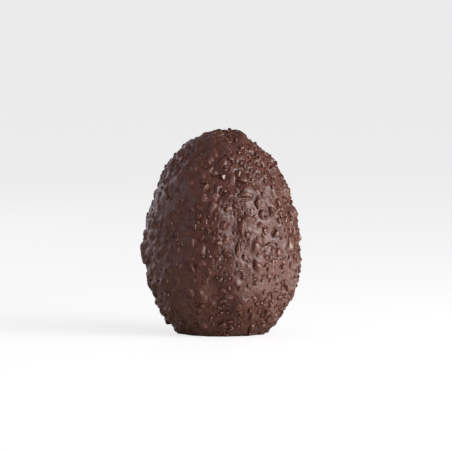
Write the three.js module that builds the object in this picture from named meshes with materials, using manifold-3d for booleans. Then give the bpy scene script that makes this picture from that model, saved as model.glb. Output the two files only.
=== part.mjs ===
// A dark chocolate egg with a knobbly coat: a moulded shell is rolled in chopped nuts, dipped once more
// and set upright, so that it stands on a small flat foot.
// Millimetres, +Z up. The origin is the centre of the foot, and -Y is the front.
import * as THREE from "three";
import { ConvexGeometry } from "three/addons/geometries/ConvexGeometry.js";
import { mergeVertices } from "three/addons/utils/BufferGeometryUtils.js";
import Module from "manifold-3d";

const wasm = await Module();
wasm.setup();

// ---- Driving dimensions ----
const SHELL_RADIUS = 54.4; // the smooth egg under the nuts, at its widest
const WIDEST_HEIGHT = 58; // height of the widest ring above the foot
const TOP_REACH = 86; // from the widest ring up to the tip
const BOTTOM_REACH = 70; // from the widest ring down to where the round end would be, below the foot

// Lumpiness of the coat itself: wavelength and rise of each size of swell
const SWELLS = [
  { wavelength: 44, rise: 0.5 },
  { wavelength: 24, rise: 0.45 },
  { wavelength: 14, rise: 0.35 },
];
const WAVES_PER_SWELL = 5;
const CALM_HEIGHT = 14; // the swells grow to their full rise at this height above the foot
const CALM_SHARE = 0.3; // and have this share of it at the foot

// The nut pieces that show as lumps: each is a block with a leaning top and sloping sides
const NUT_COUNT = 720;
const NUT_LENGTH = [4.2, 9]; // shortest and longest piece at its foot
const NUT_WIDTH_SHARE = [0.55, 0.95]; // width over length
const NUT_RISE_SHARE = [0.11, 0.23]; // rise above the coat over length
const NUT_TOP_SHARE = 0.62; // size of the top over the size at the foot
const NUT_TOP_LEAN = 0.38; // how much higher one end of the top is, over the rise
const NUT_STRAY = 0.6; // how far a piece strays from its even place, over the spacing
const NUT_SQUARENESS = 2.6; // 2 is an oval outline, and more is squarer
const NUT_TOP_CORNERS = 4;
const NUT_FOOT_CORNERS = 5;
const CLOSEST_POINTS = 0.95; // a grid point nearer another than this is left out

// Level rings of grid points at the foot's edge and under it, by the unit direction's z
const FOOT_LEVEL = -WIDEST_HEIGHT / BOTTOM_REACH;
const FOOT_RINGS = [
  { z: FOOT_LEVEL + 0.066, points: 40 },
  { z: FOOT_LEVEL, points: 48 },
  { z: -0.92, points: 24 },
  { z: -0.98, points: 8 },
];
const CLOSEST_RING_POINTS = 2; // and these stay this far from the others

// The pieces that stand out most. Each is at a turn to the right of the front, in degrees, and a height,
// and its length is turned from level by its spin, in degrees.
const LARGE_NUTS = [
  { turn: -8, height: 116, length: 6, width: 4.5, rise: 1.5, spin: 40 },
  { turn: 1, height: 114, length: 6, width: 5, rise: 1.6, spin: 80 },
  { turn: 17, height: 116, length: 7, width: 5, rise: 1.6, spin: 65 },
  { turn: 21, height: 111, length: 9, width: 5, rise: 1.8, spin: -10 },
  { turn: -18, height: 110, length: 6.5, width: 3.5, rise: 1.3, spin: 0 },
  { turn: 20, height: 101, length: 11.5, width: 8, rise: 2.2, spin: -20 },
  { turn: 31, height: 96, length: 7, width: 5, rise: 2, spin: 65 },
  { turn: -8, height: 93, length: 10, width: 4.2, rise: 1.7, spin: 80 },
  { turn: -18, height: 92, length: 7.5, width: 3.6, rise: 1.5, spin: -35 },
  { turn: 34, height: 88, length: 7.5, width: 6.5, rise: 1.7, spin: 30 },
  { turn: 43, height: 89, length: 7, width: 5.5, rise: 1.6, spin: 80 },
  { turn: 22, height: 84, length: 11, width: 5, rise: 1.5, spin: -12 },
  { turn: 1, height: 80, length: 8, width: 6, rise: 1.6, spin: 75 },
  { turn: 15, height: 78, length: 10, width: 4.5, rise: 1.6, spin: 85 },
  { turn: 26, height: 65, length: 9, width: 5.5, rise: 1.7, spin: 85 },
  { turn: 12, height: 62, length: 9.5, width: 4, rise: 1.5, spin: 85 },
  { turn: 42, height: 61, length: 6, width: 4.5, rise: 1.3, spin: 50 },
  { turn: 4, height: 60, length: 10, width: 5, rise: 1.8, spin: -35 },
  { turn: 27, height: 51, length: 8.5, width: 7.5, rise: 2.5, spin: -20 },
  { turn: -22, height: 50, length: 9, width: 4, rise: 1.5, spin: -62 },
  { turn: -12, height: 41, length: 6.5, width: 3.6, rise: 1.3, spin: 60 },
  { turn: 26, height: 40, length: 6, width: 5.5, rise: 1.4, spin: 30 },
  { turn: -88, height: 57, length: 17, width: 12, rise: 2.3, spin: 90 },
  { turn: -93, height: 22, length: 11, width: 9, rise: 2.2, spin: 20 },
  { turn: -86, height: 9, length: 9, width: 7, rise: 1.8, spin: -15 },
  { turn: 88, height: 87, length: 9, width: 8, rise: 2, spin: 70 },
  { turn: 90, height: 68, length: 11, width: 8, rise: 2, spin: 80 },
  { turn: 92, height: 50, length: 12, width: 9, rise: 1.8, spin: 90 },
  { turn: 62, height: 66, length: 14, width: 11, rise: 1.6, spin: 75 },
];

const CHOCOLATE_COLOUR = 0x4a2f28;
const CHOCOLATE_ROUGHNESS = 0.42;
const GOLDEN_ANGLE = Math.PI * (3 - Math.sqrt(5));

// ---- Repeatable chance ----
// The same pair of numbers always gives the same value from 0 up to 1.
function chance(index, channel) {
  const wave = Math.sin(index * 12.9898 + channel * 78.233) * 43758.5453;
  return wave - Math.floor(wave);
}
const between = ([low, high], share) => low + (high - low) * share;

// ---- The egg's form ----
// Two half ellipsoids share the widest ring, so a unit direction gives one point of the smooth egg.
const reachOf = (z) => (z > 0 ? TOP_REACH : BOTTOM_REACH);

function shellPoint(direction) {
  const { x, y, z } = direction;
  return new THREE.Vector3(x * SHELL_RADIUS, y * SHELL_RADIUS, WIDEST_HEIGHT + z * reachOf(z));
}

function shellNormal(direction) {
  const { x, y, z } = direction;
  return new THREE.Vector3(x / SHELL_RADIUS, y / SHELL_RADIUS, z / reachOf(z)).normalize();
}

// The unit direction whose shell point is nearest a point close to the shell.
function directionOf(point) {
  const above = point.z - WIDEST_HEIGHT;
  const scaled = new THREE.Vector3(point.x / SHELL_RADIUS, point.y / SHELL_RADIUS, above / reachOf(above));
  return scaled.normalize();
}

// A seeded direction, spread evenly over the sphere.
function seededDirection(index, channel) {
  const z = 2 * chance(index, channel) - 1;
  const turn = 2 * Math.PI * chance(index, channel + 1);
  const ring = Math.sqrt(1 - z * z);
  return new THREE.Vector3(ring * Math.cos(turn), ring * Math.sin(turn), z);
}

// How far the coat swells at a point: a few sine waves of each size, crossing one another, and lower near the foot.
const waves = SWELLS.flatMap(({ wavelength, rise }, size) =>
  Array.from({ length: WAVES_PER_SWELL }, (_, k) => {
    const index = size * WAVES_PER_SWELL + k + 1;
    return {
      along: seededDirection(index, 11).multiplyScalar((2 * Math.PI) / wavelength),
      phase: 2 * Math.PI * chance(index, 13),
      rise: rise / Math.sqrt(WAVES_PER_SWELL / 2),
    };
  }),
);
function swell(point) {
  const calm = CALM_SHARE + (1 - CALM_SHARE) * THREE.MathUtils.smoothstep(point.z, 0, CALM_HEIGHT);
  return calm * waves.reduce((sum, w) => sum + w.rise * Math.sin(w.along.dot(point) + w.phase), 0);
}

// ---- The nut pieces ----
// A piece lies on the shell with its length and width along two level axes of its own.
function nutAt(direction, length, width, rise, spin, lean) {
  const normal = shellNormal(direction);
  const level = new THREE.Vector3(0, 0, 1).cross(normal).normalize();
  const along = level.applyAxisAngle(normal, spin);
  const across = normal.clone().cross(along);
  return { middle: shellPoint(direction), along, across, length, width, rise, lean };
}

// Heights that share the egg's surface evenly, from the foot to the tip, given as the unit direction's z.
function evenHeights(count) {
  const steps = 4000;
  const lowest = -WIDEST_HEIGHT / BOTTOM_REACH;
  const area = [0];
  const levels = [lowest];
  for (let s = 1; s <= steps; s++) {
    const z = lowest + ((1 - lowest) * s) / steps;
    area.push(area[s - 1] + Math.hypot(SHELL_RADIUS * z, reachOf(z) * Math.sqrt(1 - z * z)));
    levels.push(z);
  }
  const heights = [];
  let s = 0;
  for (let i = 0; i < count; i++) {
    while (area[s] < (area[steps] * (i + 0.5)) / count) s++;
    heights.push(levels[s]);
  }
  return heights;
}

function onRing(turn, z) {
  const ring = Math.sqrt(Math.max(0, 1 - z * z));
  return new THREE.Vector3(ring * Math.cos(turn), ring * Math.sin(turn), z);
}

// The many pieces: a spiral of even spacing, from which each strays a little.
function scatteredNuts() {
  const spacing = Math.sqrt((4 * Math.PI) / NUT_COUNT);
  return evenHeights(NUT_COUNT).map((evenZ, i) => {
    const z = THREE.MathUtils.clamp(evenZ + NUT_STRAY * spacing * (chance(i, 1) - 0.5), -1, 0.999);
    const ring = Math.sqrt(1 - z * z);
    const turn = i * GOLDEN_ANGLE + (NUT_STRAY * spacing * (chance(i, 2) - 0.5)) / ring;
    const length = between(NUT_LENGTH, chance(i, 3) ** 1.7);
    const width = length * between(NUT_WIDTH_SHARE, chance(i, 4));
    const rise = length * between(NUT_RISE_SHARE, chance(i, 5));
    return nutAt(onRing(turn, z), length, width, rise, Math.PI * chance(i, 6), 2 * Math.PI * chance(i, 7));
  });
}

function largeNuts() {
  return LARGE_NUTS.map(({ turn, height, length, width, rise, spin }, i) => {
    const z = (height - WIDEST_HEIGHT) / reachOf(height - WIDEST_HEIGHT);
    const lean = 2 * Math.PI * chance(i, 9);
    const facing = THREE.MathUtils.degToRad(turn - 90);
    return nutAt(onRing(facing, z), length, width, rise, THREE.MathUtils.degToRad(spin), lean);
  });
}

// A scattered piece that would lie on a large one is left out.
function allNuts() {
  const large = largeNuts();
  const isFree = (nut) =>
    large.every((other) => nut.middle.distanceTo(other.middle) > 0.45 * other.length + 0.3 * nut.length);
  return [...large, ...scatteredNuts().filter(isFree)];
}

const nuts = allNuts();

// How high a piece stands at a point: level with its leaning top near the middle, down to nothing at its foot.
function nutRise(nut, point) {
  const offset = point.clone().sub(nut.middle);
  const u = (2 * offset.dot(nut.along)) / nut.length;
  const v = (2 * offset.dot(nut.across)) / nut.width;
  const outward = (Math.abs(u) ** NUT_SQUARENESS + Math.abs(v) ** NUT_SQUARENESS) ** (1 / NUT_SQUARENESS);
  const flank = Math.min(1, (1 - outward) / (1 - NUT_TOP_SHARE));
  if (flank <= 0) return 0;
  return nut.rise * flank * (1 + NUT_TOP_LEAN * (u * Math.cos(nut.lean) + v * Math.sin(nut.lean)));
}

function eggPoint(direction) {
  const point = shellPoint(direction);
  const near = nuts.filter((nut) => point.distanceTo(nut.middle) < nut.length);
  const rise = Math.max(0, ...near.map((nut) => nutRise(nut, point)));
  return point.clone().addScaledVector(shellNormal(direction), swell(point) + rise);
}

// ---- The grid points ----
// Corners on a ring round a piece, at a share of its outline.
function ringRound(nut, corners, share, start) {
  return Array.from({ length: corners }, (_, k) => {
    const angle = start + (2 * Math.PI * k) / corners;
    const [c, s] = [Math.cos(angle), Math.sin(angle)];
    const outline = (Math.abs(c) ** NUT_SQUARENESS + Math.abs(s) ** NUT_SQUARENESS) ** (1 / NUT_SQUARENESS);
    const point = nut.middle.clone();
    point.addScaledVector(nut.along, (0.5 * nut.length * share * c) / outline);
    return directionOf(point.addScaledVector(nut.across, (0.5 * nut.width * share * s) / outline));
  });
}

// Level rings round the foot's edge, and below it to close the round end, which is cut off afterwards.
function footRings() {
  return FOOT_RINGS.flatMap(({ z, points }) =>
    Array.from({ length: points }, (_, k) => onRing((2 * Math.PI * (k + 0.5)) / points, z)),
  );
}

function gridPoints() {
  const kept = [];
  const keep = (directions, gap) => {
    for (const direction of directions) {
      const point = shellPoint(direction);
      if (kept.every((other) => other.point.distanceTo(point) > gap)) kept.push({ direction, point });
    }
  };
  nuts.forEach((nut, i) => keep(ringRound(nut, NUT_TOP_CORNERS, NUT_TOP_SHARE, chance(i, 8)), CLOSEST_POINTS));
  nuts.forEach((nut, i) => keep(ringRound(nut, NUT_FOOT_CORNERS, 1, 6 * chance(i, 8)), CLOSEST_POINTS));
  keep(footRings(), CLOSEST_RING_POINTS);
  return kept.map((k) => k.direction);
}

// ---- Solids ----
function toSolid(geometry) {
  const merged = mergeVertices(geometry.clone().deleteAttribute("normal").deleteAttribute("uv"), 1e-5);
  return new wasm.Manifold(
    new wasm.Mesh({
      numProp: 3,
      vertProperties: Float32Array.from(merged.attributes.position.array),
      triVerts: Uint32Array.from(merged.index.array),
    }),
  );
}

function toGeometry(solid) {
  const mesh = solid.getMesh();
  const geometry = new THREE.BufferGeometry();
  geometry.setAttribute("position", new THREE.BufferAttribute(Float32Array.from(mesh.vertProperties), 3));
  geometry.setIndex(new THREE.BufferAttribute(Uint32Array.from(mesh.triVerts), 1));
  geometry.computeVertexNormals();
  return geometry;
}

// The grid points on a unit ball are joined by its hull, and each then moves out to its place on the egg.
function knobblyEgg() {
  const ball = new ConvexGeometry(gridPoints()).deleteAttribute("normal");
  const merged = mergeVertices(ball, 1e-6);
  const place = merged.attributes.position;
  for (let i = 0; i < place.count; i++) {
    const direction = new THREE.Vector3().fromBufferAttribute(place, i).normalize();
    place.setXYZ(i, ...eggPoint(direction));
  }
  return toSolid(merged);
}

// Everything under the foot's plane.
function belowFoot() {
  const depth = 60;
  return toSolid(new THREE.BoxGeometry(200, 200, depth).translate(0, 0, -depth / 2));
}

const egg = new THREE.Mesh(
  toGeometry(knobblyEgg().subtract(belowFoot())),
  new THREE.MeshStandardMaterial({ color: CHOCOLATE_COLOUR, roughness: CHOCOLATE_ROUGHNESS, metalness: 0 }),
);
egg.name = "chocolate_egg";

const chocolateEgg = new THREE.Group();
chocolateEgg.add(egg);
export default chocolateEgg;
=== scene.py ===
# %% [markdown]
# A dark chocolate egg with a coat of chopped nuts, standing on its small flat foot.
# The real one is a moulded shell that is rolled in melted chocolate and chopped nuts, dipped once more and
# set upright, so it is one body with a satin skin. The frame below holds its plain solid at its real size,
# and this lesson dresses it: a fine chocolate coat, the nut pieces that break through it, and crumbs.

# %% Load the frame
import math

import bpy
import numpy as np
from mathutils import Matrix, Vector


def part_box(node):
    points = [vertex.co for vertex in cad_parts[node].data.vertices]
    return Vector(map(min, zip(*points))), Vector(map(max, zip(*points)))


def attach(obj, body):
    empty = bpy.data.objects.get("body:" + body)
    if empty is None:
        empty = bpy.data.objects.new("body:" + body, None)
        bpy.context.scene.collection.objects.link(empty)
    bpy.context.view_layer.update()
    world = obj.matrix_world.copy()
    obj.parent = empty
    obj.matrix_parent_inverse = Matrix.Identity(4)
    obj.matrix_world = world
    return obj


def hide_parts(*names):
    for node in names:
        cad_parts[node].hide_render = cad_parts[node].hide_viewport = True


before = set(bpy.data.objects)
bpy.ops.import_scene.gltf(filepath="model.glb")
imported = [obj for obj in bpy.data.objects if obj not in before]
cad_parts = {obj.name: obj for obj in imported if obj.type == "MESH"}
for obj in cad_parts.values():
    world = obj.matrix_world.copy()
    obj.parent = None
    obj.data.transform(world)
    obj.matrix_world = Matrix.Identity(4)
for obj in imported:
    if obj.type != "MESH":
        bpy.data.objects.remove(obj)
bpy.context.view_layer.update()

MM = 0.001  # the sizes below are in millimetres, and Blender works in metres
EGG_NODE = "chocolate_egg"
cad_low, cad_high = (np.array(corner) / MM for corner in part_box(EGG_NODE))
print("the solid runs from", cad_low.round(1), "to", cad_high.round(1), "mm")

# %% [markdown]
# The egg's form is two half ellipsoids that share the widest ring. They could be modelled as a turned
# profile, but a formula from a unit direction to a point is easier to reuse: the coat, the nuts and the
# crumbs all sit on the same smooth egg, and each only has to say in which direction it lies. The front is
# towards minus y, and a place is given as degrees to the right of it and a height.

# %% The smooth egg
SHELL_RADIUS = 54.4
WIDEST_HEIGHT = 58.0
TOP_REACH = 86.0
BOTTOM_REACH = 70.0


def reach_of(z):
    """How far the egg reaches from its widest ring, upwards where z is positive and downwards elsewhere."""
    return np.where(z > 0, TOP_REACH, BOTTOM_REACH)


def shell_point(direction):
    """Each unit direction's point: x and y times the radius, and z times the reach above the widest ring."""
    x, y, z = direction.T
    return np.stack([x * SHELL_RADIUS, y * SHELL_RADIUS, WIDEST_HEIGHT + z * reach_of(z)], axis=1)


def shell_normal(direction):
    """The outward normal there: each part of the direction divided by the half axis along it, made a unit."""
    x, y, z = direction.T
    normal = np.stack([x / SHELL_RADIUS, y / SHELL_RADIUS, z / reach_of(z)], axis=1)
    return normal / np.linalg.norm(normal, axis=1, keepdims=True)


def on_ring(turn, z):
    """The unit directions at these turns round the upright axis and these heights of the unit ball."""
    ring = np.sqrt(np.maximum(0, 1 - z * z))
    return np.stack([ring * np.cos(turn), ring * np.sin(turn), z], axis=1)


def from_front(turn, height):
    """The unit directions at these degrees to the right of the front and these heights in millimetres."""
    z = (height - WIDEST_HEIGHT) / reach_of(height - WIDEST_HEIGHT)
    return on_ring(np.radians(turn - 90), z)


def turn_past(points, start):
    """How far round to the right each point lies past the start, which is in degrees from the front."""
    return np.arctan2(points[:, 0], -points[:, 1]) - math.radians(start)


print("smooth egg:", 2 * SHELL_RADIUS, "mm wide,", WIDEST_HEIGHT + TOP_REACH, "mm high")

# %% [markdown]
# Chopped nuts fall by chance, but the egg has to come out the same each time. A random generator with a
# seed would do. Here a sine with a large factor is used instead, because its last digits look random, it
# needs no order of drawing, and the plain solid was made with the very same numbers.

# %% Chance without a generator
def chance(index, channel):
    """A number from 0 up to 1 for each index and channel: what is left after the point of a large sine."""
    wave = np.sin(index * 12.9898 + channel * 78.233) * 43758.5453
    return wave - np.floor(wave)


def between(limits, share):
    """The value at a share of the way from the low limit to the high one."""
    return limits[0] + (limits[1] - limits[0]) * share


print("first three chances:", chance(np.arange(3), 1).round(3))

# %% [markdown]
# A dipped coat is never even: it swells and sinks over a few centimetres. Noise textures could move the
# mesh, but the plain solid has the same swells, so they are repeated here as a sum of crossing sine waves
# of three lengths, which die down towards the foot where the egg was set on a flat sheet.

# %% Swells of the coat
SWELLS = ((44.0, 0.5), (24.0, 0.45), (14.0, 0.35))  # wavelength and rise
WAVES_PER_SWELL = 5
CALM_HEIGHT = 14.0  # below it the swells die down
CALM_SHARE = 0.3  # what is left of them at the floor


def smooth_step(value, low, high):
    """0 at the low value and before it, 1 from the high one on, and a smooth S between them."""
    t = np.clip((value - low) / (high - low), 0, 1)
    return t * t * (3 - 2 * t)


def swell(points):
    """The sum over the waves of rise times the sine of the way along the wave, calmed near the foot."""
    total = np.zeros(len(points))
    for size, (wavelength, rise) in enumerate(SWELLS):
        index = size * WAVES_PER_SWELL + np.arange(WAVES_PER_SWELL) + 1
        along = on_ring(2 * np.pi * chance(index, 12), 2 * chance(index, 11) - 1) * 2 * np.pi / wavelength
        phase = 2 * np.pi * chance(index, 13)
        total += rise / math.sqrt(WAVES_PER_SWELL / 2) * np.sin(points @ along.T + phase).sum(axis=1)
    return (CALM_SHARE + (1 - CALM_SHARE) * smooth_step(points[:, 2], 0, CALM_HEIGHT)) * total


print("swells of", ", ".join(f"{wavelength} mm" for wavelength, _ in SWELLS))

# %% [markdown]
# In two places, low on the front and on the right, the dip ran thicker and set as a broad, low mound. A
# sculpting brush could pull them out. A bell over the distance from the mound's middle does the same.

# %% Broad mounds
# turn to the right of the front in degrees, height, half width, half height, rise
BROAD_MOUNDS = ((14.0, 34.0, 18.0, 36.0, 2.3), (84.0, 34.0, 34.0, 34.0, 1.2))


def broad_mound(points):
    """The sum over the mounds of rise times a bell that ends where the distance in half sizes is one."""
    total = np.zeros(len(points))
    for turn, height, half_width, half_height, rise in BROAD_MOUNDS:
        angle = turn_past(points, turn)
        sideways = SHELL_RADIUS * np.abs(np.mod(angle + np.pi, 2 * np.pi) - np.pi)
        distance = (sideways / half_width) ** 2 + ((points[:, 2] - height) / half_height) ** 2
        total += rise * np.maximum(0, 1 - distance) ** 2
    return total


print(len(BROAD_MOUNDS), "broad mounds, up to", max(mound[-1] for mound in BROAD_MOUNDS), "mm high")

# %% [markdown]
# Finer than the swells are the ripples that a thick liquid leaves as it sets. They follow no direction, so
# they are a value noise: random heights at the corners of a lattice of small cubes, blended smoothly.

# %% Ripples of the coat
RIPPLES = ((8.0, 0.3), (4.2, 0.25), (2.3, 0.18), (1.4, 0.16))  # cube size and rise
LATTICE_STEPS = np.array([1.0, 57.0, 113.0])  # numbers the lattice corners, so that neighbours differ
LATTICE_START = 500.0  # cubes, which keeps every number above zero


def lattice_noise(points, cell, channel):
    """Values from -1 to 1: a chance at each lattice corner, and a smooth blend of the eight between them."""
    place = points / cell + LATTICE_START
    corner = np.floor(place)
    way = smooth_step(place - corner, 0, 1)
    total = np.zeros(len(points))
    for offset in np.ndindex(2, 2, 2):
        weight = np.prod(np.where(np.array(offset), way, 1 - way), axis=1)
        total += weight * chance((corner + offset) @ LATTICE_STEPS, channel)
    return 2 * total - 1


def ripple(points):
    """The sum over the ripple sizes of rise times the value noise of that cube size."""
    return sum(rise * lattice_noise(points, cell, 21 + k) for k, (cell, rise) in enumerate(RIPPLES))


def ground_height(points):
    """How far the coat lies above the smooth egg between the pieces: swell, ripple and broad mound."""
    return swell(points) + ripple(points) + broad_mound(points)


print("ripples of", ", ".join(f"{cell} mm" for cell, _ in RIPPLES))

# %% [markdown]
# The last dip ran thick on one side of the egg: nearly all the pieces there lie under chocolate. On the
# other side they stand bare. A painted mask could say where, but the angle round the egg is enough.

# %% Where the last dip ran thick
THICK_TURN = -65.0  # to the right of the front in degrees
THICK_SPREAD = (0.35, 0.95)  # cosines of the angle from there: where it starts to thicken, and is thickest


def dip_share(points):
    """0 where the last dip ran thin and 1 where it ran thick: an S over the cosine of the angle between."""
    return smooth_step(np.cos(turn_past(points, THICK_TURN)), *THICK_SPREAD)


print("the last dip ran thickest at", THICK_TURN, "degrees from the front")

# %% [markdown]
# The pieces of nut that show as lumps sit where the plain solid has them. Each has a length and a width
# along two axes that lie level on the egg, and a rise above the coat. First come the largest, each listed
# one by one.

# %% The large pieces of nut
# turn to the right of the front in degrees, height, length, width, rise, and turn from level in degrees
LARGE_NUTS = np.array([
    (-8, 116, 6, 4.5, 1.5, 40), (1, 114, 6, 5, 1.6, 80), (17, 116, 7, 5, 1.6, 65),
    (21, 111, 9, 5, 1.8, -10), (-18, 110, 6.5, 3.5, 1.3, 0), (20, 101, 11.5, 8, 2.2, -20),
    (31, 96, 7, 5, 2, 65), (-8, 93, 10, 4.2, 1.7, 80), (-18, 92, 7.5, 3.6, 1.5, -35),
    (34, 88, 7.5, 6.5, 1.7, 30), (43, 89, 7, 5.5, 1.6, 80), (22, 84, 11, 5, 1.5, -12),
    (1, 80, 8, 6, 1.6, 75), (15, 78, 10, 4.5, 1.6, 85), (26, 65, 9, 5.5, 1.7, 85),
    (12, 62, 9.5, 4, 1.5, 85), (42, 61, 6, 4.5, 1.3, 50), (4, 60, 10, 5, 1.8, -35),
    (27, 51, 8.5, 7.5, 2.5, -20), (-22, 50, 9, 4, 1.5, -62), (-12, 41, 6.5, 3.6, 1.3, 60),
    (26, 40, 6, 5.5, 1.4, 30), (-88, 57, 17, 12, 2.3, 90), (-93, 22, 11, 9, 2.2, 20),
    (-86, 9, 9, 7, 1.8, -15), (88, 87, 9, 8, 2, 70), (90, 68, 11, 8, 2, 80),
    (92, 50, 12, 9, 1.8, 90), (62, 66, 14, 11, 1.6, 75),
])


def place_pieces(direction, length, width, rise, spin, lean):
    """Pieces on the shell, each with its length's axis turned by spin from level, and highest at its lean."""
    normal = shell_normal(direction)
    level = np.cross([0.0, 0.0, 1.0], normal)
    level /= np.linalg.norm(level, axis=1, keepdims=True)
    upright = np.cross(normal, level)
    along = np.cos(spin)[:, None] * level + np.sin(spin)[:, None] * upright
    return {"middle": shell_point(direction), "normal": normal, "along": along,
            "across": np.cross(normal, along), "length": length, "width": width, "rise": rise, "lean": lean}


turn, height, length, width, rise, spin = LARGE_NUTS.T
lean = 2 * np.pi * chance(np.arange(len(LARGE_NUTS)), 9)
large = place_pieces(from_front(turn, height), length, width, rise, np.radians(spin), lean)
print(len(LARGE_NUTS), "large pieces, the longest", length.max(), "mm")

# %% [markdown]
# The others are too many to set by hand, and a plain random scatter would leave holes and heaps. So they
# follow the spiral of a sunflower's seeds, and each strays a little. None is left on a large piece.

# %% The many pieces of nut
GOLDEN_ANGLE = math.pi * (3 - math.sqrt(5))
NUT_COUNT = 720
NUT_LENGTH = (4.2, 9.0)
NUT_LENGTH_POWER = 1.7  # above one, so that most are short
NUT_WIDTH_SHARE = (0.55, 0.95)  # of the length
NUT_RISE_SHARE = (0.11, 0.23)  # of the length
NUT_STRAY = 0.6  # of the spacing
NUT_CLEARANCE = (0.45, 0.3)  # from a large piece's middle, as shares of its length and of the piece's own
LEVELS = 4000
HIGHEST = 0.999  # on the unit ball, because level has no meaning at its very top


def even_heights(count):
    """Heights that share the egg's surface evenly: thin belts' areas are added up and cut in equal parts."""
    lowest = -WIDEST_HEIGHT / BOTTOM_REACH
    z = lowest + (1 - lowest) * np.arange(1, LEVELS + 1) / LEVELS
    belts = np.hypot(SHELL_RADIUS * z, reach_of(z) * np.sqrt(np.maximum(0, 1 - z * z)))
    area = np.cumsum(belts)
    return z[np.searchsorted(area, area[-1] * (np.arange(count) + 0.5) / count)]


def sized_pieces(direction, lengths, power, rise_shares, channel, lean):
    """Pieces whose lengths, widths, rises and spins are picked by chance, between their limits."""
    i = np.arange(len(direction))
    length = between(lengths, chance(i, channel) ** power)
    width = length * between(NUT_WIDTH_SHARE, chance(i, channel + 1))
    rise = length * between(rise_shares, chance(i, channel + 2))
    return place_pieces(direction, length, width, rise, np.pi * chance(i, channel + 3), lean)


def scattered_nuts():
    """A spiral that turns by the golden angle from piece to piece, from which each strays a little."""
    i = np.arange(NUT_COUNT)
    spacing = math.sqrt(4 * math.pi / NUT_COUNT)
    z = np.clip(even_heights(NUT_COUNT) + NUT_STRAY * spacing * (chance(i, 1) - 0.5), -1, HIGHEST)
    turn = i * GOLDEN_ANGLE + NUT_STRAY * spacing * (chance(i, 2) - 0.5) / np.sqrt(1 - z * z)
    lean = 2 * np.pi * chance(i, 7)
    return sized_pieces(on_ring(turn, z), NUT_LENGTH, NUT_LENGTH_POWER, NUT_RISE_SHARE, 3, lean)


def keep_pieces(pieces, kept):
    """The same pieces, only those that are kept."""
    return {name: values[kept] for name, values in pieces.items()}


def clear_of(pieces, others, clearance):
    """The pieces whose middles are further from all the others' than shares of both lengths added up."""
    gap = np.linalg.norm(pieces["middle"][:, None] - others["middle"][None], axis=2)
    least = clearance[0] * others["length"] + clearance[1] * pieces["length"][:, None]
    return keep_pieces(pieces, np.all(gap > least, axis=1))


scattered = clear_of(scattered_nuts(), large, NUT_CLEARANCE)
print(len(scattered["length"]), "scattered pieces of nut")

# %% [markdown]
# Between the lumps lie smaller bits of nut and crumbs, down to about a millimetre. They are too fine for
# the plain solid. Each kind is strewn at random, and then thinned out into loose clusters, because an even
# scatter looks printed. It is rarest where the last dip ran thick.

# %% Bits and crumbs
# how many are strewn, their lengths, and their rises over the length
BITS = (1800, (2.2, 4.8), (0.18, 0.38))
CRUMBS = (4200, (1.1, 2.4), (0.16, 0.36))
BIT_SHARE = 0.68  # of the bits, kept in clusters
CRUMB_SHARE = 0.6  # and of the crumbs
STREWN_LENGTH_POWER = 1.5
CLUSTER_SIZE = 9.0
CLUSTER_CHANNEL = 38
CLUSTER_STRAY = 0.8  # how much of each piece's own chance blurs the clusters
CLUSTER_DIP = 0.5  # how much harder it is to be kept where the dip ran thick


def strewn(count, lengths, rise_shares, channel):
    """Pieces at random turns and at area-even heights, many short and a few long."""
    i = np.arange(count)
    order = np.argsort(chance(i, channel + 5))
    z = np.minimum(even_heights(count)[order], HIGHEST)
    turn = 2 * np.pi * chance(i, channel)
    return sized_pieces(on_ring(turn, z), lengths, STREWN_LENGTH_POWER, rise_shares, channel + 1, 2 * turn)


def in_clusters(pieces, share, channel):
    """The share of the pieces where noise plus chance, less the thickness of the dip, is highest."""
    value = lattice_noise(pieces["middle"], CLUSTER_SIZE, CLUSTER_CHANNEL)
    stray = CLUSTER_STRAY * chance(np.arange(len(value)), channel)
    value += stray - CLUSTER_DIP * dip_share(pieces["middle"])
    return keep_pieces(pieces, value > np.quantile(value, 1 - share))


bits = in_clusters(strewn(*BITS, channel=31), BIT_SHARE, channel=37)
crumbs = in_clusters(strewn(*CRUMBS, channel=41), CRUMB_SHARE, channel=47)
print("before the bubbles:", len(bits["length"]), "bits and", len(crumbs["length"]), "crumbs")

# %% [markdown]
# Here and there an air bubble burst as the coat set, and left a dark pit a millimetre or two wide with a low
# rim. Cutting holes with small balls would do, but the coat's mesh is fine enough to sink and rise by a
# formula. Four bubbles are listed, where they show most, the others are strewn, and bits keep clear.

# %% Burst bubbles
BUBBLES_SET = np.array([(49, 37), (70, 41), (65, 16), (56, 9)])  # turn to the right of the front, and height
BUBBLE_COUNT = 60  # strewn, most of them on a lump and so left out
BUBBLE_LENGTH = (1.8, 3.2)
BUBBLE_CLEARANCE = (0.5, 0.5)  # from a lump's middle, as shares of its length and of the bubble's
BIT_CLEARANCE = (0.5, 0.4)  # from a bubble's middle, as shares of its length and of the bit's
PIT_WALL = (1.0, 0.15)  # where the pit's wall starts and ends, as a share of half the length
RIM_MIDDLE = 1.3  # and where its rim is highest
RIM_WIDTH = 0.5


def burst_bubbles():
    """The listed bubbles, which are the largest, and the strewn ones that lie clear of the lumps."""
    turn, height = BUBBLES_SET.T
    others = strewn(BUBBLE_COUNT, BUBBLE_LENGTH, rise_shares=(0.0, 0.0), channel=101)
    others = clear_of(clear_of(others, large, BUBBLE_CLEARANCE), scattered, BUBBLE_CLEARANCE)
    return {"middle": np.concatenate([shell_point(from_front(turn, height)), others["middle"]]),
            "length": np.append(np.full(len(turn), BUBBLE_LENGTH[1]), others["length"])}


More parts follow.
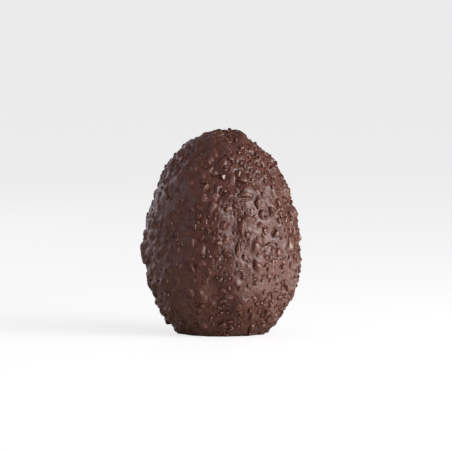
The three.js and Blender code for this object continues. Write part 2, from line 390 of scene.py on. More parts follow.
def pits_and_rims(points):
    """How far each point is in a pit and on a rim, from its distance to each bubble over half its length."""
    pit, rim = np.zeros(len(points)), np.zeros(len(points))
    for middle, length in zip(bubbles["middle"], bubbles["length"]):
        share = np.linalg.norm(points - middle, axis=1) / (0.5 * length)
        pit = np.maximum(pit, smooth_step(share, *PIT_WALL))
        rim = np.maximum(rim, smooth_step(np.abs(share - RIM_MIDDLE), RIM_WIDTH, 0))
    return pit, rim


bubbles = burst_bubbles()
bits = clear_of(bits, bubbles, BIT_CLEARANCE)
crumbs = clear_of(crumbs, bubbles, BIT_CLEARANCE)
print(len(bubbles["length"]), "bubbles,", len(bits["length"]), "bits and", len(crumbs["length"]), "crumbs")

# %% [markdown]
# A round closed surface needs a grid without poles, because a pole would pinch the coat. So six square
# grids, one for each face of a cube, are blown up into a ball. Their shared edges become one by numbering
# each corner by its whole-number place on the cube.

# %% A ball of square grids
def ball_grid(divisions):
    """Unit directions and quads of a cube of square grids, whose lines lie evenly by angle on each side."""
    step = np.arange(divisions + 1)
    a, b = np.meshgrid(step, step, indexing="ij")
    a, b = a.ravel(), b.ravel()
    low, high = np.zeros_like(a), np.full_like(a, divisions)
    # each side's two running places and its fixed one; the order of a and b makes each quad face outwards
    sides = [(high, a, b), (low, b, a), (b, high, a), (a, low, b), (a, b, high), (b, a, low)]
    lattice = np.concatenate([np.stack(side, axis=1) for side in sides])
    key = lattice @ np.array([1, divisions + 1, (divisions + 1) ** 2])
    _, first, corner_of = np.unique(key, return_index=True, return_inverse=True)
    place = np.tan((2 * lattice[first] / divisions - 1) * np.pi / 4)
    direction = place / np.linalg.norm(place, axis=1, keepdims=True)
    start = (np.arange(divisions)[:, None] * (divisions + 1) + np.arange(divisions)).ravel()
    quad = np.stack([start, start + divisions + 1, start + divisions + 2, start + 1], axis=1)
    quads = np.concatenate([quad + side * (divisions + 1) ** 2 for side in range(6)])
    return direction, corner_of.ravel()[quads]


print("a ball of 2 divisions has", len(ball_grid(2)[1]), "quads")

# %% [markdown]
# Blender takes a mesh as flat arrays: all the corners, then which of them each face joins. That is far
# quicker than adding faces one by one. Each vertex also carries a tone, which its finish makes a colour.

# %% From arrays to a mesh
def make_piece(name, vertices, quads, tones, material):
    """A closed mesh object from arrays: vertices in millimetres, quads of four corners, one tone a vertex."""
    mesh = bpy.data.meshes.new(name)
    mesh.vertices.add(len(vertices))
    mesh.vertices.foreach_set("co", (vertices * MM).astype(np.float32).ravel())
    mesh.loops.add(quads.size)
    mesh.loops.foreach_set("vertex_index", quads.astype(np.int32).ravel())
    mesh.polygons.add(len(quads))
    mesh.polygons.foreach_set("loop_start", np.arange(0, quads.size, 4, dtype=np.int32))
    mesh.polygons.foreach_set("use_smooth", np.ones(len(quads), dtype=bool))
    mesh.update(calc_edges=True)
    tone = mesh.attributes.new("tone", "FLOAT", "POINT")
    tone.data.foreach_set("value", tones.astype(np.float32))
    mesh.materials.append(material)
    piece = bpy.data.objects.new(name, mesh)
    bpy.context.scene.collection.objects.link(piece)
    print(name, "has", 2 * len(quads), "triangles")
    return piece


# %% [markdown]
# The finishes come before the pieces, and are made of shader nodes. A few short helpers each add one node
# and wire it up, so that the recipes below read like sums.

# %% Helpers for shader nodes
def new_group(name, inputs, outputs):
    """An empty shader node group with these named number inputs and these outputs."""
    group = bpy.data.node_groups.new(name, "ShaderNodeTree")
    for label, value in inputs.items():
        socket = group.interface.new_socket(label, in_out="INPUT", socket_type="NodeSocketFloat")
        socket.default_value = value
    for label, kind in outputs.items():
        group.interface.new_socket(label, in_out="OUTPUT", socket_type=kind)
    return group, group.nodes.new("NodeGroupInput"), group.nodes.new("NodeGroupOutput")


def wire(tree, node, inputs):
    """The node, with each of these inputs linked to another node's output or set to a plain value."""
    for label, value in inputs.items():
        if isinstance(value, bpy.types.NodeSocket):
            tree.links.new(value, node.inputs[label])
        else:
            node.inputs[label].default_value = value
    return node


def noise(tree, place, scale, detail=3.0, roughness=0.55):
    """A noise texture over the object's own coordinates, with its size given in features per metre."""
    inputs = {"Vector": place, "Scale": scale, "Detail": detail, "Roughness": roughness}
    return wire(tree, tree.nodes.new("ShaderNodeTexNoise"), inputs).outputs["Fac"]


def cells(tree, place, scale, feature):
    """A cell texture over the object's own coordinates, with its size given in cells per metre."""
    node = wire(tree, tree.nodes.new("ShaderNodeTexVoronoi"), {"Vector": place, "Scale": scale})
    node.feature = feature
    return node


def remap(tree, value, low, high, to_low, to_high):
    """The value stretched from one range to another and held inside it."""
    inputs = {"Value": value, "From Min": low, "From Max": high, "To Min": to_low, "To Max": to_high}
    return wire(tree, tree.nodes.new("ShaderNodeMapRange"), inputs).outputs["Result"]


def combine(tree, operation, first, second):
    """Two values, or a value and a plain number, joined by one step of arithmetic."""
    node = wire(tree, tree.nodes.new("ShaderNodeMath"), {0: first, 1: second})
    node.operation = operation
    return node.outputs[0]


def blend(tree, share, first, second):
    """A colour that goes from the first one to the second as the share goes from 0 to 1."""
    inputs = {"Fac": share, "Color1": first, "Color2": second}
    return wire(tree, tree.nodes.new("ShaderNodeMixRGB"), inputs).outputs["Color"]


def place_group(tree, group, inputs):
    """The group as one node of the tree, with these inputs."""
    node = tree.nodes.new("ShaderNodeGroup")
    node.node_tree = group
    return wire(tree, node, inputs)


# %% [markdown]
# All the chocolate shares one grain: a fine tooth from sugar and cocoa, small dents, crumbs too small to
# model, and duller patches. It is a node group, so that each finish uses it with its own strengths.

# %% Grain shared by the finishes
TOOTH = (1300.0, 4.0, 0.65)  # features per metre, detail and roughness of the noise
DENTS = (420.0, 3.0, 0.6)
DULL_PATCHES = 90.0  # per metre
DULL_RANGE = (0.35, 0.7)  # of the patches' noise, from not at all to fully dull
CRUMB_CELLS = 560.0  # per metre
CRUMB_FLANK = (0.02, 0.16)  # distances from a cell's edge, in cells, between which a crumb rises
CRUMB_PICK = (0.4, 0.75)  # of the cell's chance, from no crumb to a full one


def pressed_crumbs(tree, place):
    """Flat-topped crumbs in about half the cells: high where far from the edge, and picked by chance."""
    edge = cells(tree, place, CRUMB_CELLS, "DISTANCE_TO_EDGE").outputs["Distance"]
    flank = remap(tree, edge, *CRUMB_FLANK, 0, 1)
    shade = cells(tree, place, CRUMB_CELLS, "F1").outputs["Color"]
    return combine(tree, "MULTIPLY", flank, remap(tree, shade, *CRUMB_PICK, 0, 1))


def grain_group():
    """Height: tooth, dents and crumbs, each given in millimetres. Dullness: soft patches from 0 to 1."""
    given_sizes = {"Tooth": 0.1, "Dents": 0.2, "Crumbs": 0.1}
    outputs = {"Height": "NodeSocketFloat", "Dullness": "NodeSocketFloat"}
    group, given, result = new_group("chocolate_grain", given_sizes, outputs)
    place = group.nodes.new("ShaderNodeTexCoord").outputs["Object"]
    patterns = {"Tooth": noise(group, place, *TOOTH), "Dents": noise(group, place, *DENTS),
                "Crumbs": pressed_crumbs(group, place)}
    height = 0.0
    for name, pattern in patterns.items():
        height = combine(group, "ADD", combine(group, "MULTIPLY", pattern, given.outputs[name]), height)
    dullness = remap(group, noise(group, place, DULL_PATCHES), *DULL_RANGE, 0.0, 1.0)
    wire(group, result, {"Height": height, "Dullness": dullness})
    return group


GRAIN = grain_group()
print("group", GRAIN.name, "has", len(GRAIN.nodes), "nodes")

# %% [markdown]
# Dark chocolate isn't one brown. Where the film over a nut is thin it is redder and lighter, and the creases
# are painted nearly black, as painted shade. A painted picture could say so, but each vertex already has a
# tone, from 0, painted shade, to 1, thin, and the second group turns the tone and some mottling into the
# colour.

# %% Colour shared by the finishes
# tone and colour, from the painted shade at the bottom of a crease to a film so thin that the nut shows
# through
BROWNS = (
    (0.0, (0.035, 0.008, 0.005, 1.0)),
    (0.3, (0.09, 0.029, 0.02, 1.0)),
    (0.55, (0.12, 0.044, 0.031, 1.0)),
    (1.0, (0.46, 0.27, 0.2, 1.0)),
)
MOTTLES = (260.0, 4.0)  # features per metre, and detail
MOTTLE_RANGE = (0.3, 0.7)  # of the noise, from the darkest to the lightest mottle


def colour_group():
    """Colour: a ramp through the browns, read at the tone plus mottling."""
    outputs = {"Colour": "NodeSocketColor"}
    group, given, result = new_group("chocolate_colour", {"Tone": 0.4, "Mottling": 0.3}, outputs)
    place = group.nodes.new("ShaderNodeTexCoord").outputs["Object"]
    patches = remap(group, noise(group, place, *MOTTLES), *MOTTLE_RANGE, -0.5, 0.5)
    shift = combine(group, "MULTIPLY", patches, given.outputs["Mottling"])
    ramp = group.nodes.new("ShaderNodeValToRGB")
    stops = ramp.color_ramp.elements
    stops[0].color, stops[1].color = BROWNS[0][1], BROWNS[-1][1]
    for tone, brown in BROWNS[1:-1]:
        stops.new(tone).color = brown
    wire(group, ramp, {"Fac": combine(group, "ADD", given.outputs["Tone"], shift)})
    wire(group, result, {"Colour": ramp.outputs["Color"]})
    return group


COLOUR = colour_group()
print("group", COLOUR.name, "has", len(COLOUR.nodes), "nodes")

# %% [markdown]
# Set chocolate is satin: a plain shader with a middling roughness gives the broad pale sheen of a soft lamp
# on it. The film over the nuts is smoother and wetter than the coat, and glints warmly. Both finishes are
# the same recipe with other strengths, so one function makes them.

# %% The satin finishes
CREASE_DULLNESS = 0.35  # added to the roughness in the floor of a crease
CREASE_TONES = (0.05, 0.35)  # the tones where that dullness is full, and where it ends


def satin_chocolate(name, tooth, dents, crumbs, mottling, roughness, shine, glint):
    """A satin finish: colour from the tone, roughness from dull patches plus creases, and the grain as bump.

    The shine is the index of refraction, and the glint tints what the surface mirrors.
    """
    material = bpy.data.materials.new(name)
    material.use_nodes = True
    tree = material.node_tree
    tone = tree.nodes.new("ShaderNodeAttribute")
    tone.attribute_name = "tone"
    colour = place_group(tree, COLOUR, {"Tone": tone.outputs["Fac"], "Mottling": mottling})
    grain = place_group(tree, GRAIN, {"Tooth": tooth, "Dents": dents, "Crumbs": crumbs})
    dull = combine(tree, "ADD", remap(tree, grain.outputs["Dullness"], 0, 1, *roughness),
                   remap(tree, tone.outputs["Fac"], *CREASE_TONES, CREASE_DULLNESS, 0))
    bump = wire(tree, tree.nodes.new("ShaderNodeBump"), {"Distance": MM, "Height": grain.outputs["Height"]})
    wire(tree, tree.nodes["Principled BSDF"], {
        "Base Color": colour.outputs["Colour"], "Roughness": dull, "Normal": bump.outputs["Normal"],
        "IOR": shine, "Specular Tint": glint})
    return material


PLAIN_GLINT = (1.0, 1.0, 1.0, 1.0)
WARM_GLINT = (1.0, 0.88, 0.8, 1.0)
COAT_FINISH = satin_chocolate("coat_chocolate", tooth=0.06, dents=0.28, crumbs=0.06, mottling=0.2,
                              roughness=(0.27, 0.37), shine=1.5, glint=PLAIN_GLINT)
NUT_FINISH = satin_chocolate("nut_chocolate", tooth=0.02, dents=0.1, crumbs=0.0, mottling=0.2,
                             roughness=(0.12, 0.22), shine=1.6, glint=WARM_GLINT)
print("finishes:", COAT_FINISH.name, "and", NUT_FINISH.name)

# %% [markdown]
# Chopped nuts are irregular polygons seen from above. Their outlines come before the coat, because the coat
# creases along them. A small piece has a few corners at uneven turns and reaches. A large one is cut by
# planes at random slants: where a plane is near, the radius is short. Adding high powers of the planes, not
# taking the nearest, rounds the edges between them a little.

# %% Outlines of the broken pieces
CHANNELS = {"large": 91, "pieces": 61, "bits": 71, "crumbs": 81}  # the first channel of chance of each kind
SLOTS = 7  # chances that each piece has in a channel, for its corners or planes
CORNERS = {"pieces": 5, "bits": 4, "crumbs": 3}  # of a small piece of each kind
NUT_SQUARENESS = 2.6  # 2 would spread the corners on a circle, and more squares it
CORNER_STRAY = 0.8  # of the step from corner to corner
SIDE_BULGE = (0.94, 1.12)  # how far the middle of a side stands out, over the straight line
CORNER_REACH = (0.68, 1.15)
PLANE_STRAY = 0.8  # of the step from plane to plane
FLANKS = (5, (-0.1, 0.35), (0.6, 1.0))  # how many planes, their slopes and their distances
CHAMFERS = (5, (0.5, 1.6), (0.85, 1.4))
END_PLANES = ((0.1, -0.1, 1.0), (0.0, 0.0, -1.0))  # the top, which slants a little, and the underside
EDGE_POWER = 16.0


def block_outline(kind, count):
    """Every block's outline from above, in half lengths: its corners, and between them the sides' middles."""
    corners, channel = CORNERS[kind], CHANNELS[kind]
    corner = np.arange(corners)[None]
    number = np.arange(count)[:, None] * SLOTS + corner
    turn = 2 * np.pi * (corner + 0.5 + CORNER_STRAY * (chance(number, channel) - 0.5)) / corners
    x, y = np.cos(turn), np.sin(turn)
    squarer = (np.abs(x) ** NUT_SQUARENESS + np.abs(y) ** NUT_SQUARENESS) ** (-1 / NUT_SQUARENESS)
    reach = squarer * between(CORNER_REACH, chance(number, channel + 1))
    ends = np.stack([reach * x, reach * y], axis=2)
    bulge = between(SIDE_BULGE, chance(number, channel + 6))[:, :, None]
    middles = 0.5 * (ends + np.roll(ends, -1, axis=1)) * bulge
    return np.stack([ends, middles], axis=2).reshape(count, 2 * corners, 2)


def plane_set(count, planes, slopes, reaches, channel):
    """Planes spread round the upright axis, with slopes and distances by chance, as normals over distance."""
    plane = np.arange(planes)[None]
    number = np.arange(count)[:, None] * SLOTS + plane
    turn = 2 * np.pi * (plane + PLANE_STRAY * chance(number, channel)) / planes
    slope = between(slopes, chance(number, channel + 1))
    normal = np.stack([np.cos(turn), np.sin(turn), slope], axis=2)
    return normal / between(reaches, chance(number, channel + 2))[:, :, None]


def broken_radii(direction, count, channel):
    """One over the root of the summed high powers of each direction's ways towards the planes of a piece."""
    ends = np.broadcast_to(END_PLANES, (count, 2, 3))
    sets = [plane_set(count, *FLANKS, channel), plane_set(count, *CHAMFERS, channel + 3), ends]
    toward = np.maximum(0, np.einsum("vc,npc->nvp", direction, np.concatenate(sets, axis=1)))
    return (toward ** EDGE_POWER).sum(axis=2) ** (-1 / EDGE_POWER)


# %% [markdown]
# A block is a little smaller than its lump, because the coat climbs its flanks. A large piece's outline is
# that of its broken ball, cut level.

# %% The outlines of each kind
BLOCK_SIZES = {"large": 0.92, "pieces": 0.82, "bits": 0.88}  # over the lump's
OUTLINE_STEPS = 40
outline_turn = 2 * np.pi * np.arange(OUTLINE_STEPS) / OUTLINE_STEPS
outline_level = on_ring(outline_turn, np.zeros(OUTLINE_STEPS))
large_radii = broken_radii(outline_level, len(large["length"]), CHANNELS["large"])
outlines = {
    "large": BLOCK_SIZES["large"] * large_radii[:, :, None] * outline_level[None, :, :2],
    "pieces": BLOCK_SIZES["pieces"] * block_outline("pieces", len(scattered["length"])),
    "bits": BLOCK_SIZES["bits"] * block_outline("bits", len(bits["length"])),
}
print("outlines of", sum(map(len, outlines.values())), "pieces")

# %% [markdown]
# The last dip buries some pieces under a soft mound, and only climbs the flanks of the others, with a dark
# crease along their outline. A sculpt could do this, but a formula keeps every mound and crease exactly at
# its own nut. The vertices are sorted by height, so each nut only looks at the belt that it lies in.

# %% Mounds and creases of the coat
MOUND_SKIRT = (0.5, 0.35)  # how far a mound runs past the outline: millimetres, and share of the half size
MOUND_TOP = 0.3  # and how far inside the outline it is full, as a share of the half size
MOUND_LEAN = 0.3  # how much higher a mound is on its lean's side, over its middle
MOUND_SEARCH = 1.2  # how far from a piece its outline may lie, in half lengths
BURIED_SHARE = (0.2, 0.75)  # of the pieces, where the last dip ran thin and where it ran thick
BURIED_MOUND = (1.05, 1.3)  # a mound's height over its piece's rise, where it buries the piece
BARE_MOUND = (0.1, 0.4)  # and where it doesn't
CREASE_WIDTH = (0.95, 0.1)  # millimetres, and share of the half size
CREASE_FLOOR = 0.35  # how far outside the outline the crease is deepest, over its width
CREASE_LEFT = (1.0, 0.4)  # the share of a crease that the last dip leaves, where it ran thin and thick
CREASE_FULL = 1.6  # the half size of a piece from which its crease has its full depth
CREASE_POWER = 1.5  # how fast the creases of smaller pieces get shallower


def relief_round(points, pieces, outline, channel):
    """The highest mound and the deepest crease at each point, over all the pieces, each along its outline."""
    number = np.arange(len(pieces["length"]))
    thick = dip_share(pieces["middle"])
    buried = chance(number, channel) < between(BURIED_SHARE, thick)
    pick = chance(number, channel + 1)
    rise = pieces["rise"] * np.where(buried, between(BURIED_MOUND, pick), between(BARE_MOUND, pick))
    half_length, half_width = 0.5 * pieces["length"], 0.5 * pieces["width"]
    half_size = 0.5 * (half_length + half_width)
    skirt = MOUND_SKIRT[0] + MOUND_SKIRT[1] * half_size
    edge_turn = np.arctan2(outline[:, :, 1], outline[:, :, 0])
    edge_reach = np.hypot(outline[:, :, 0], outline[:, :, 1])
    order = np.argsort(points[:, 2])
    level = points[order, 2]
    mound, crease = np.zeros(len(points)), np.zeros(len(points))
    for k in number:
        middle, reach = pieces["middle"][k], MOUND_SEARCH * half_length[k] + skirt[k]
        ends = np.searchsorted(level, (middle[2] - reach, middle[2] + reach))
        near = order[ends[0]:ends[1]]
        offset = points[near] - middle
        within = (offset ** 2).sum(axis=1) < reach ** 2
        near, offset = near[within], offset[within]
        u = offset @ pieces["along"][k] / half_length[k]
        v = offset @ pieces["across"][k] / half_width[k]
        edge = np.interp(np.arctan2(v, u), edge_turn[k], edge_reach[k], period=2 * np.pi)
        gap = (np.hypot(u, v) - edge) * half_size[k]
        lean = 1 + MOUND_LEAN * (u * np.cos(pieces["lean"][k]) + v * np.sin(pieces["lean"][k]))
        lump = rise[k] * lean * smooth_step(gap, skirt[k], -MOUND_TOP * half_size[k])
        mound[near] = np.maximum(mound[near], lump)
        if not buried[k]:
            wide = CREASE_WIDTH[0] + CREASE_WIDTH[1] * half_size[k]
            groove = smooth_step(gap, -wide, 0) * smooth_step(gap, wide, CREASE_FLOOR * wide)
            groove *= between(CREASE_LEFT, thick[k]) * min(1.0, half_size[k] / CREASE_FULL) ** CREASE_POWER
            crease[near] = np.maximum(crease[near], groove)
    return mound, crease


# %% [markdown]
# The coat's vertices are those of the ball grid, moved out to the smooth egg. Where pieces overlap, the
# highest mound and the deepest crease count, and a high mound has filled its creases.

# %% Relief on the coat's vertices
COAT_DIVISIONS = 128
CREASE_ON_MOUND = (0.9, 0.4)  # heights of the mound where a crease is gone, and where it is whole
coat_direction, coat_quads = ball_grid(COAT_DIVISIONS)
smooth_points = shell_point(coat_direction)
reliefs = [relief_round(smooth_points, large, outlines["large"], channel=51),
           relief_round(smooth_points, scattered, outlines["pieces"], channel=53),
           relief_round(smooth_points, bits, outlines["bits"], channel=55)]
mound = np.max([each[0] for each in reliefs], axis=0)
crease = np.max([each[1] for each in reliefs], axis=0) * smooth_step(mound, *CREASE_ON_MOUND)
pit, rim = pits_and_rims(smooth_points)
print("mounds up to", mound.max().round(2), "mm over", len(mound), "vertices")

# %% [markdown]
# The coat is one closed skin: each vertex moves straight out from the smooth egg by the sum of the reliefs.
# Displacement in the material would look alike, but a mesh keeps its outline in every program. The skin
# takes the plain solid's place.

# %% The coat
CREASE_DEPTH = 0.75
PIT_DEPTH = 1.9
RIM_RISE = 0.25
COAT_TONE = 0.42
MOUND_TONE = 0.03  # lighter for each millimetre of mound, up to the full one
FULL_MOUND = 1.5
CREASE_PAINTED_SHADE = 0.1  # darker in a crease: painted shade
PIT_PAINTED_SHADE = 0.5  # darker in a pit: painted shade
# each smooth point moves out by ground, mound and rim, less crease and pit, and is cut flat under the foot
relief = ground_height(smooth_points) + mound + RIM_RISE * rim - CREASE_DEPTH * crease - PIT_DEPTH * pit
coat_points = smooth_points + shell_normal(coat_direction) * relief[:, None]
coat_points[:, 2] = np.maximum(coat_points[:, 2], 0)
# the tone is lighter on mounds, and darkened in creases and pits as painted shade
coat_tone = COAT_TONE + MOUND_TONE * np.clip(mound, 0, FULL_MOUND) - CREASE_PAINTED_SHADE * crease - PIT_PAINTED_SHADE * pit
egg_coat = make_piece("egg_coat", coat_points, coat_quads, coat_tone, COAT_FINISH)
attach(egg_coat, "root")
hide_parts(EGG_NODE)

# %% [markdown]
# A piece of chopped nut is a small broken block. Thousands of beveled cubes would be slow and look alike, so
# all blocks of a kind are one array: a few rings of corners, one above the other, whose turns and reaches
# stray by chance. The top takes the film's tone, and where the block dives into the coat its colour is
# darkened towards the crease's, as painted shade.

# %% The shape of a broken piece
# height, reach, and how far the tone has gone from the painted shade at the foot to the film's
BLOCK_RINGS = ((-0.5, 0.75, 0.0), (0.1, 1.0, 0.3), (0.34, 0.93, 0.8), (0.46, 0.72, 1.0), (0.5, 0.5, 1.0))
CRUMB_RINGS = ((-0.5, 0.8, 0.5), (0.1, 1.0, 0.7), (0.38, 0.75, 1.0), (0.5, 0.4, 1.0))
TOP_SLOPE = 0.35


def block_points(outline, rings, channel):
    """Rings of the outline, one above the other, with a top that slopes by chance, in half sizes."""
    count = len(outline)
    height, share, _ = np.array(rings).T[:, None, :, None]
    x, y = share * outline[:, None, :, 0], share * outline[:, None, :, 1]
    slope = TOP_SLOPE * (chance(np.arange(count) * 3 + np.array([[0], [1]]), channel) - 0.5)[:, :, None, None]
    rise = 2 * height + np.maximum(0, height) * (slope[0] * x + slope[1] * y)
    return np.stack([x, y, rise], axis=3).reshape(count, -1, 3)


def block_quads(rings, corners):
    """Quads between the rings, and each end closed by a fan of quads from its first corner."""
    index = np.arange(len(rings) * corners).reshape(len(rings), corners)
    after = np.roll(index, -1, axis=1)
    side = np.stack([index[:-1], after[:-1], after[1:], index[1:]], axis=2).reshape(-1, 4)
    fan = np.array([(0, k, k + 1, k + 2) for k in range(1, corners - 1, 2)])
    return np.concatenate([side, index[-1][fan], index[0][fan[:, ::-1]]])


print("a bit has", len(block_quads(BLOCK_RINGS, 2 * CORNERS["bits"])), "quads")

# %% [markdown]
# The rolling leaves no piece quite flat, so each block is tipped, the small ones more than the large, and
# sunk until it stands out of the coat by its own rise. Physics could drop them, but only onto the coat.

# %% Setting the pieces in the coat
BLOCK_THICKNESS = (0.6, 0.9)  # over the width
LOWEST_NUT = 0.05  # above the floor


def block_axes(pieces, tilt, channel):
    """The piece's three axes, tipped about an axis in the egg's skin, so that the lean's side is higher."""
    turn, tip = pieces["lean"], np.radians(between(tilt, chance(np.arange(len(pieces["lean"])), channel)))
    hinge = -np.sin(turn)[:, None] * pieces["along"] + np.cos(turn)[:, None] * pieces["across"]
    axes = []
    for name in ("along", "across", "normal"):
        axis = pieces[name]
        part = np.sum(axis * hinge, axis=1, keepdims=True) * hinge
        aside = np.cross(axis, hinge)
        axes.append(part + np.cos(tip)[:, None] * (axis - part) + np.sin(tip)[:, None] * aside)
    return axes


def set_in_coat(pieces, local, tilt, channel, proud=1.0):
    """The blocks, each tipped and sunk until it stands out by its rise, or by more where it is proud."""
    thickness = pieces["width"] * between(BLOCK_THICKNESS, chance(np.arange(len(local)), channel))
    halves = 0.5 * np.stack([pieces["length"], pieces["width"], thickness], axis=1)
    axes = np.stack(block_axes(pieces, tilt, channel + 1), axis=1)
    block = np.einsum("nvk,nk,nkc->nvc", local, halves, axes)
    reach = np.einsum("nvc,nc->nv", block, pieces["normal"]).max(axis=1)
    lift = (ground_height(pieces["middle"]) + proud * pieces["rise"] - reach)[:, None] * pieces["normal"]
    points = block + (pieces["middle"] + lift)[:, None]
    points[:, :, 2] = np.maximum(points[:, :, 2], LOWEST_NUT)
    return points


# %% [markdown]
# All the blocks of a kind become one mesh with one finish, because thousands of objects would be slow. A
# few have a film so thin that the pale nut shows through, which only their tone says.

# %% Blocks of one kind
# the tone at a block's foot, where it dives into the coat: painted shade
FOOT_PAINTED_SHADE_TONE = 0.26
FILM_TONES = (0.36, 0.5)
# the share of each kind whose film is so thin that the nut shows through, and their tones
THIN_FILMS = {
    "large_nuts": (0.0, FILM_TONES),
    "nut_pieces": (0.04, (0.58, 0.66)),
    "nut_bits": (0.1, (0.6, 0.85)),
    "nut_crumbs": (0.15, (0.65, 0.95)),
}


def join_blocks(name, points, quads, tones):
    """One mesh of all the blocks, each with the same quads, in the nuts' finish."""
    all_quads = (quads[None] + (np.arange(len(points)) * points.shape[1])[:, None, None]).reshape(-1, 4)
    piece = make_piece(name, points.reshape(-1, 3), all_quads, tones.ravel(), NUT_FINISH)
    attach(piece, "root")
    return piece


def film_tones(name, count, channel):
    """The tone of each block's top: brown, darker and lighter by chance, or paler where its film is thin."""
    i = np.arange(count)
    share, tones = THIN_FILMS[name]
    pick = chance(i, channel + 1)
    return np.where(chance(i, channel) < share, between(tones, pick), between(FILM_TONES, pick))


def blocks(name, pieces, outline, tilt, channel, rings):
    """Broken blocks of one kind, each with its own outline and its own tone."""
    count, corners = outline.shape[:2]
    points = set_in_coat(pieces, block_points(outline, rings, channel + 2), tilt, channel + 3)
    out_of_shade = np.repeat([ring[2] for ring in rings], corners)[None]
    # each ring's tone runs from the painted shade at the foot to the film's tone on the top
    tones = FOOT_PAINTED_SHADE_TONE + out_of_shade * (film_tones(name, count, channel + 7)[:, None] - FOOT_PAINTED_SHADE_TONE)
    return join_blocks(name, points, block_quads(rings, corners), tones)


# %% [markdown]
# Chocolate has rounded the blunt edges of the small pieces, but the steep ones stay crisp and catch the
# light. Beveling would cost many faces, and smooth shading that stops at a steep angle costs none.

# %% The pieces, bits and crumbs
PIECE_TILT = (2.0, 20.0)  # in degrees, from lying flat on the egg
BIT_TILT = (6.0, 42.0)
CRISP_ANGLE = 40.0  # degrees, above which an edge stays crisp
crumb_outline = block_outline("crumbs", len(crumbs["length"]))
small_blocks = [
    blocks("nut_pieces", scattered, outlines["pieces"], PIECE_TILT, CHANNELS["pieces"], BLOCK_RINGS),
    blocks("nut_bits", bits, outlines["bits"], BIT_TILT, CHANNELS["bits"], BLOCK_RINGS),
    blocks("nut_crumbs", crumbs, crumb_outline, BIT_TILT, CHANNELS["crumbs"], CRUMB_RINGS),
]
for piece in small_blocks:
    piece.data.set_sharp_from_angle(angle=math.radians(CRISP_ANGLE))

# %% [markdown]
# The largest pieces are seen well enough to show worn edges and several broken faces. Each is a ball grid
# pulled in by the planes that also gave its outline, and so fine that the edges between them are rounded.

# %% The large broken pieces
LARGE_DIVISIONS = 20
LARGE_PROUD = 1.3  # how far a large piece stands out, over its lump's rise
LARGE_SHADE_TO_FILM = (0.0, 0.6)  # heights, in half sizes, between which the painted shade at the foot turns into the film's tone
large_direction, large_quads = ball_grid(LARGE_DIVISIONS)
large_count = len(large["length"])
large_radii = broken_radii(large_direction, large_count, CHANNELS["large"])
large_local = large_direction[None] * large_radii[:, :, None]
large_local[:, :, :2] *= BLOCK_SIZES["large"]
# the tone runs from painted shade at the foot to the film's tone higher up
large_out_of_shade = smooth_step(large_local[:, :, 2], *LARGE_SHADE_TO_FILM)
large_films = film_tones("large_nuts", large_count, CHANNELS["large"] + 8)[:, None]
large_tones = FOOT_PAINTED_SHADE_TONE + large_out_of_shade * (large_films - FOOT_PAINTED_SHADE_TONE)
large_points = set_in_coat(large, large_local, PIECE_TILT, CHANNELS["large"] + 6, LARGE_PROUD)
join_blocks("large_nuts", large_points, large_quads, large_tones)

# %% [markdown]
# The egg stands on a plain pale floor that runs out of sight. A white board would come out uneven under
# these lamps, so the camera sees a grey one with a steady glow, which still takes the egg's shadow. The egg
# gets a warmer light back from it, so that its lower half keeps its brown.

# %% Floor
FLOOR_REACH = 15.0  # metres from the middle to each side
FLOOR_SEEN = (0.45, 0.45, 0.45, 1.0)
FLOOR_GLOW = 0.72
FLOOR_BOUNCE = (0.5, 0.4, 0.28, 1.0)
FLOOR_MIRRORED = (0.75, 0.68, 0.58, 1.0)
WHITE = (1.0, 1.0, 1.0, 1.0)


def floor_finish():
    """A plain shader that is seen in one colour, with a glow, and is mirrored and bounced in two others."""
    finish = bpy.data.materials.new("floor_finish")
    finish.use_nodes = True
    tree = finish.node_tree
    ray = tree.nodes.new("ShaderNodeLightPath").outputs
    bounce = blend(tree, ray["Is Glossy Ray"], FLOOR_BOUNCE, FLOOR_MIRRORED)
    colour = blend(tree, ray["Is Camera Ray"], bounce, FLOOR_SEEN)
    glow = combine(tree, "MULTIPLY", ray["Is Camera Ray"], FLOOR_GLOW)
    inputs = {"Base Color": colour, "Emission Color": WHITE, "Emission Strength": glow}
    wire(tree, tree.nodes["Principled BSDF"], inputs)
    return finish


corners = [(x * FLOOR_REACH, y * FLOOR_REACH, 0) for x, y in ((-1, -1), (1, -1), (1, 1), (-1, 1))]
floor_mesh = bpy.data.meshes.new("floor")
floor_mesh.from_pydata(corners, [], [(0, 1, 2, 3)])
floor_mesh.materials.append(floor_finish())
floor = bpy.data.objects.new("floor", floor_mesh)
bpy.context.scene.collection.objects.link(floor)
print("floor", 2 * FLOOR_REACH, "m wide")

# %% [markdown]
# Satin chocolate is lit by what it mirrors. Two broad soft boxes low on the right give the sheen, one
# higher up reaches the shoulder, and three small hard ones give the glints. Two mauve ones, on the left and
# behind, give the thin rim. The front left stays dim, so that the egg keeps its shape.

# %% Lights
PLAIN = (1.0, 1.0, 1.0)
MAUVE = (1.06, 0.94, 1.04)
# name, turn to the right of the camera and height of the lamp's middle in degrees, distance, width and
# height in metres, power in watts, and tint
LAMPS = (
    ("key_soft", 72.0, 8.0, 1.3, 0.8, 1.2, 12.8, PLAIN),
    ("key_near", 50.0, 8.0, 1.3, 0.8, 1.2, 5.0, PLAIN),
    ("key_high", 50.0, 35.0, 1.3, 1.0, 0.8, 2.8, PLAIN),
    ("key_front", 24.0, 16.0, 1.3, 0.25, 0.25, 1.9, PLAIN),
    ("key_edge", 52.0, 20.0, 1.3, 0.3, 0.3, 2.3, PLAIN),
    ("key_hard", 66.0, 12.0, 1.3, 0.3, 0.3, 1.9, PLAIN),
    ("rim_left", -90.0, 10.0, 1.5, 1.6, 1.6, 4.6, MAUVE),
    ("rim_back", -140.0, 10.0, 1.5, 0.9, 1.2, 3.5, MAUVE),
)
AIM = Vector((0.0, 0.0, 0.07))


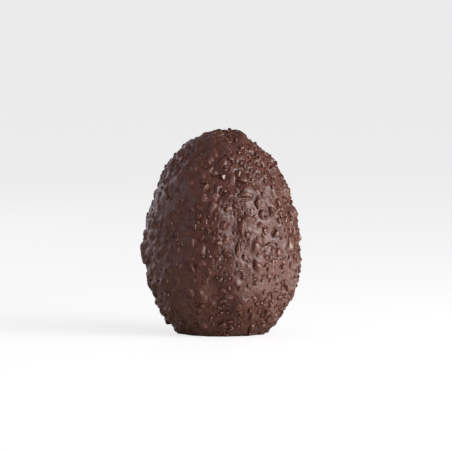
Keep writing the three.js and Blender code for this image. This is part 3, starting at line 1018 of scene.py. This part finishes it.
def hang_box(name, width, height, power, tint):
    """A soft box that lights the scene and isn't seen itself, still at the origin."""
    lamp = bpy.data.lights.new(name, "AREA")
    lamp.shape = "RECTANGLE"
    lamp.size, lamp.size_y, lamp.energy, lamp.color = width, height, power, tint
    holder = bpy.data.objects.new(name, lamp)
    holder.visible_camera = False
    bpy.context.scene.collection.objects.link(holder)
    return holder


for name, degrees, elevation, distance, width, height, power, tint in LAMPS:
    lamp_turn = math.radians(degrees)
    away = Vector((math.sin(lamp_turn), -math.cos(lamp_turn), math.tan(math.radians(elevation))))
    away.normalize()
    holder = hang_box(name, width, height, power, tint)
    holder.location = AIM + distance * away
    holder.rotation_euler = away.to_track_quat("Z", "Y").to_euler()
print(len(LAMPS), "soft boxes")

# %% [markdown]
# A pale table top lights the lower half of what stands on it. The floor glows for the camera alone, so a
# lit card lies on it, in front on the right, and faces up.

# %% Light card
CARD_TURN = math.radians(66.0)  # to the right of the camera
CARD_DISTANCE = 0.42
CARD_SIZE = (0.45, 0.7)
CARD_HEIGHT = 0.004
CARD_POWER = 1.2
card = hang_box("card", *CARD_SIZE, CARD_POWER, PLAIN)
card.location = (CARD_DISTANCE * math.sin(CARD_TURN), -CARD_DISTANCE * math.cos(CARD_TURN), CARD_HEIGHT)
card.rotation_euler = (math.pi, 0.0, CARD_TURN)
print("card", CARD_DISTANCE, "m from the egg's axis")

# %% [markdown]
# The camera sees plain white all round. If that white lit the egg too, it would wash out sheen and shadow,
# so every other ray finds a much dimmer surround, slightly mauve.

# %% World
WORLD_TINT = (1.0, 0.97, 1.04, 1.0)
WORLD_FILL = 0.2
world = bpy.data.worlds.new("surround")
world.use_nodes = True
tree = world.node_tree
seen = tree.nodes.new("ShaderNodeLightPath").outputs["Is Camera Ray"]
tint = blend(tree, seen, WORLD_TINT, WHITE)
strength = remap(tree, seen, 0, 1, WORLD_FILL, 1.0)
wire(tree, tree.nodes["Background"], {"Color": tint, "Strength": strength})
bpy.context.scene.world = world
bpy.context.scene.view_settings.view_transform = "Standard"
print("surround fills in at", WORLD_FILL)

# %% [markdown]
# The camera is a long lens from a few metres away, a little above the egg, as for a catalogue picture. A
# short lens up close would make the egg's middle bulge.

# %% Camera
CAMERA_DISTANCE = 3.444
CAMERA_ELEVATION = math.radians(3.8)
CAMERA_LENS = 386.0
SENSOR_WIDTH = 36.0
SIGHT = 100.0  # metres, further than the floor reaches
LOOK_AT = Vector((0.0029, 0.0, 0.0762))
lens = bpy.data.cameras.new("camera")
lens.lens = CAMERA_LENS
lens.sensor_width = SENSOR_WIDTH
lens.clip_end = SIGHT
camera = bpy.data.objects.new("camera", lens)
away = Vector((0.0, -math.cos(CAMERA_ELEVATION), math.sin(CAMERA_ELEVATION)))
camera.location = LOOK_AT + CAMERA_DISTANCE * away
camera.rotation_euler = away.to_track_quat("Z", "Y").to_euler()
bpy.context.scene.collection.objects.link(camera)
bpy.context.scene.camera = camera
print("camera", CAMERA_DISTANCE, "m away")
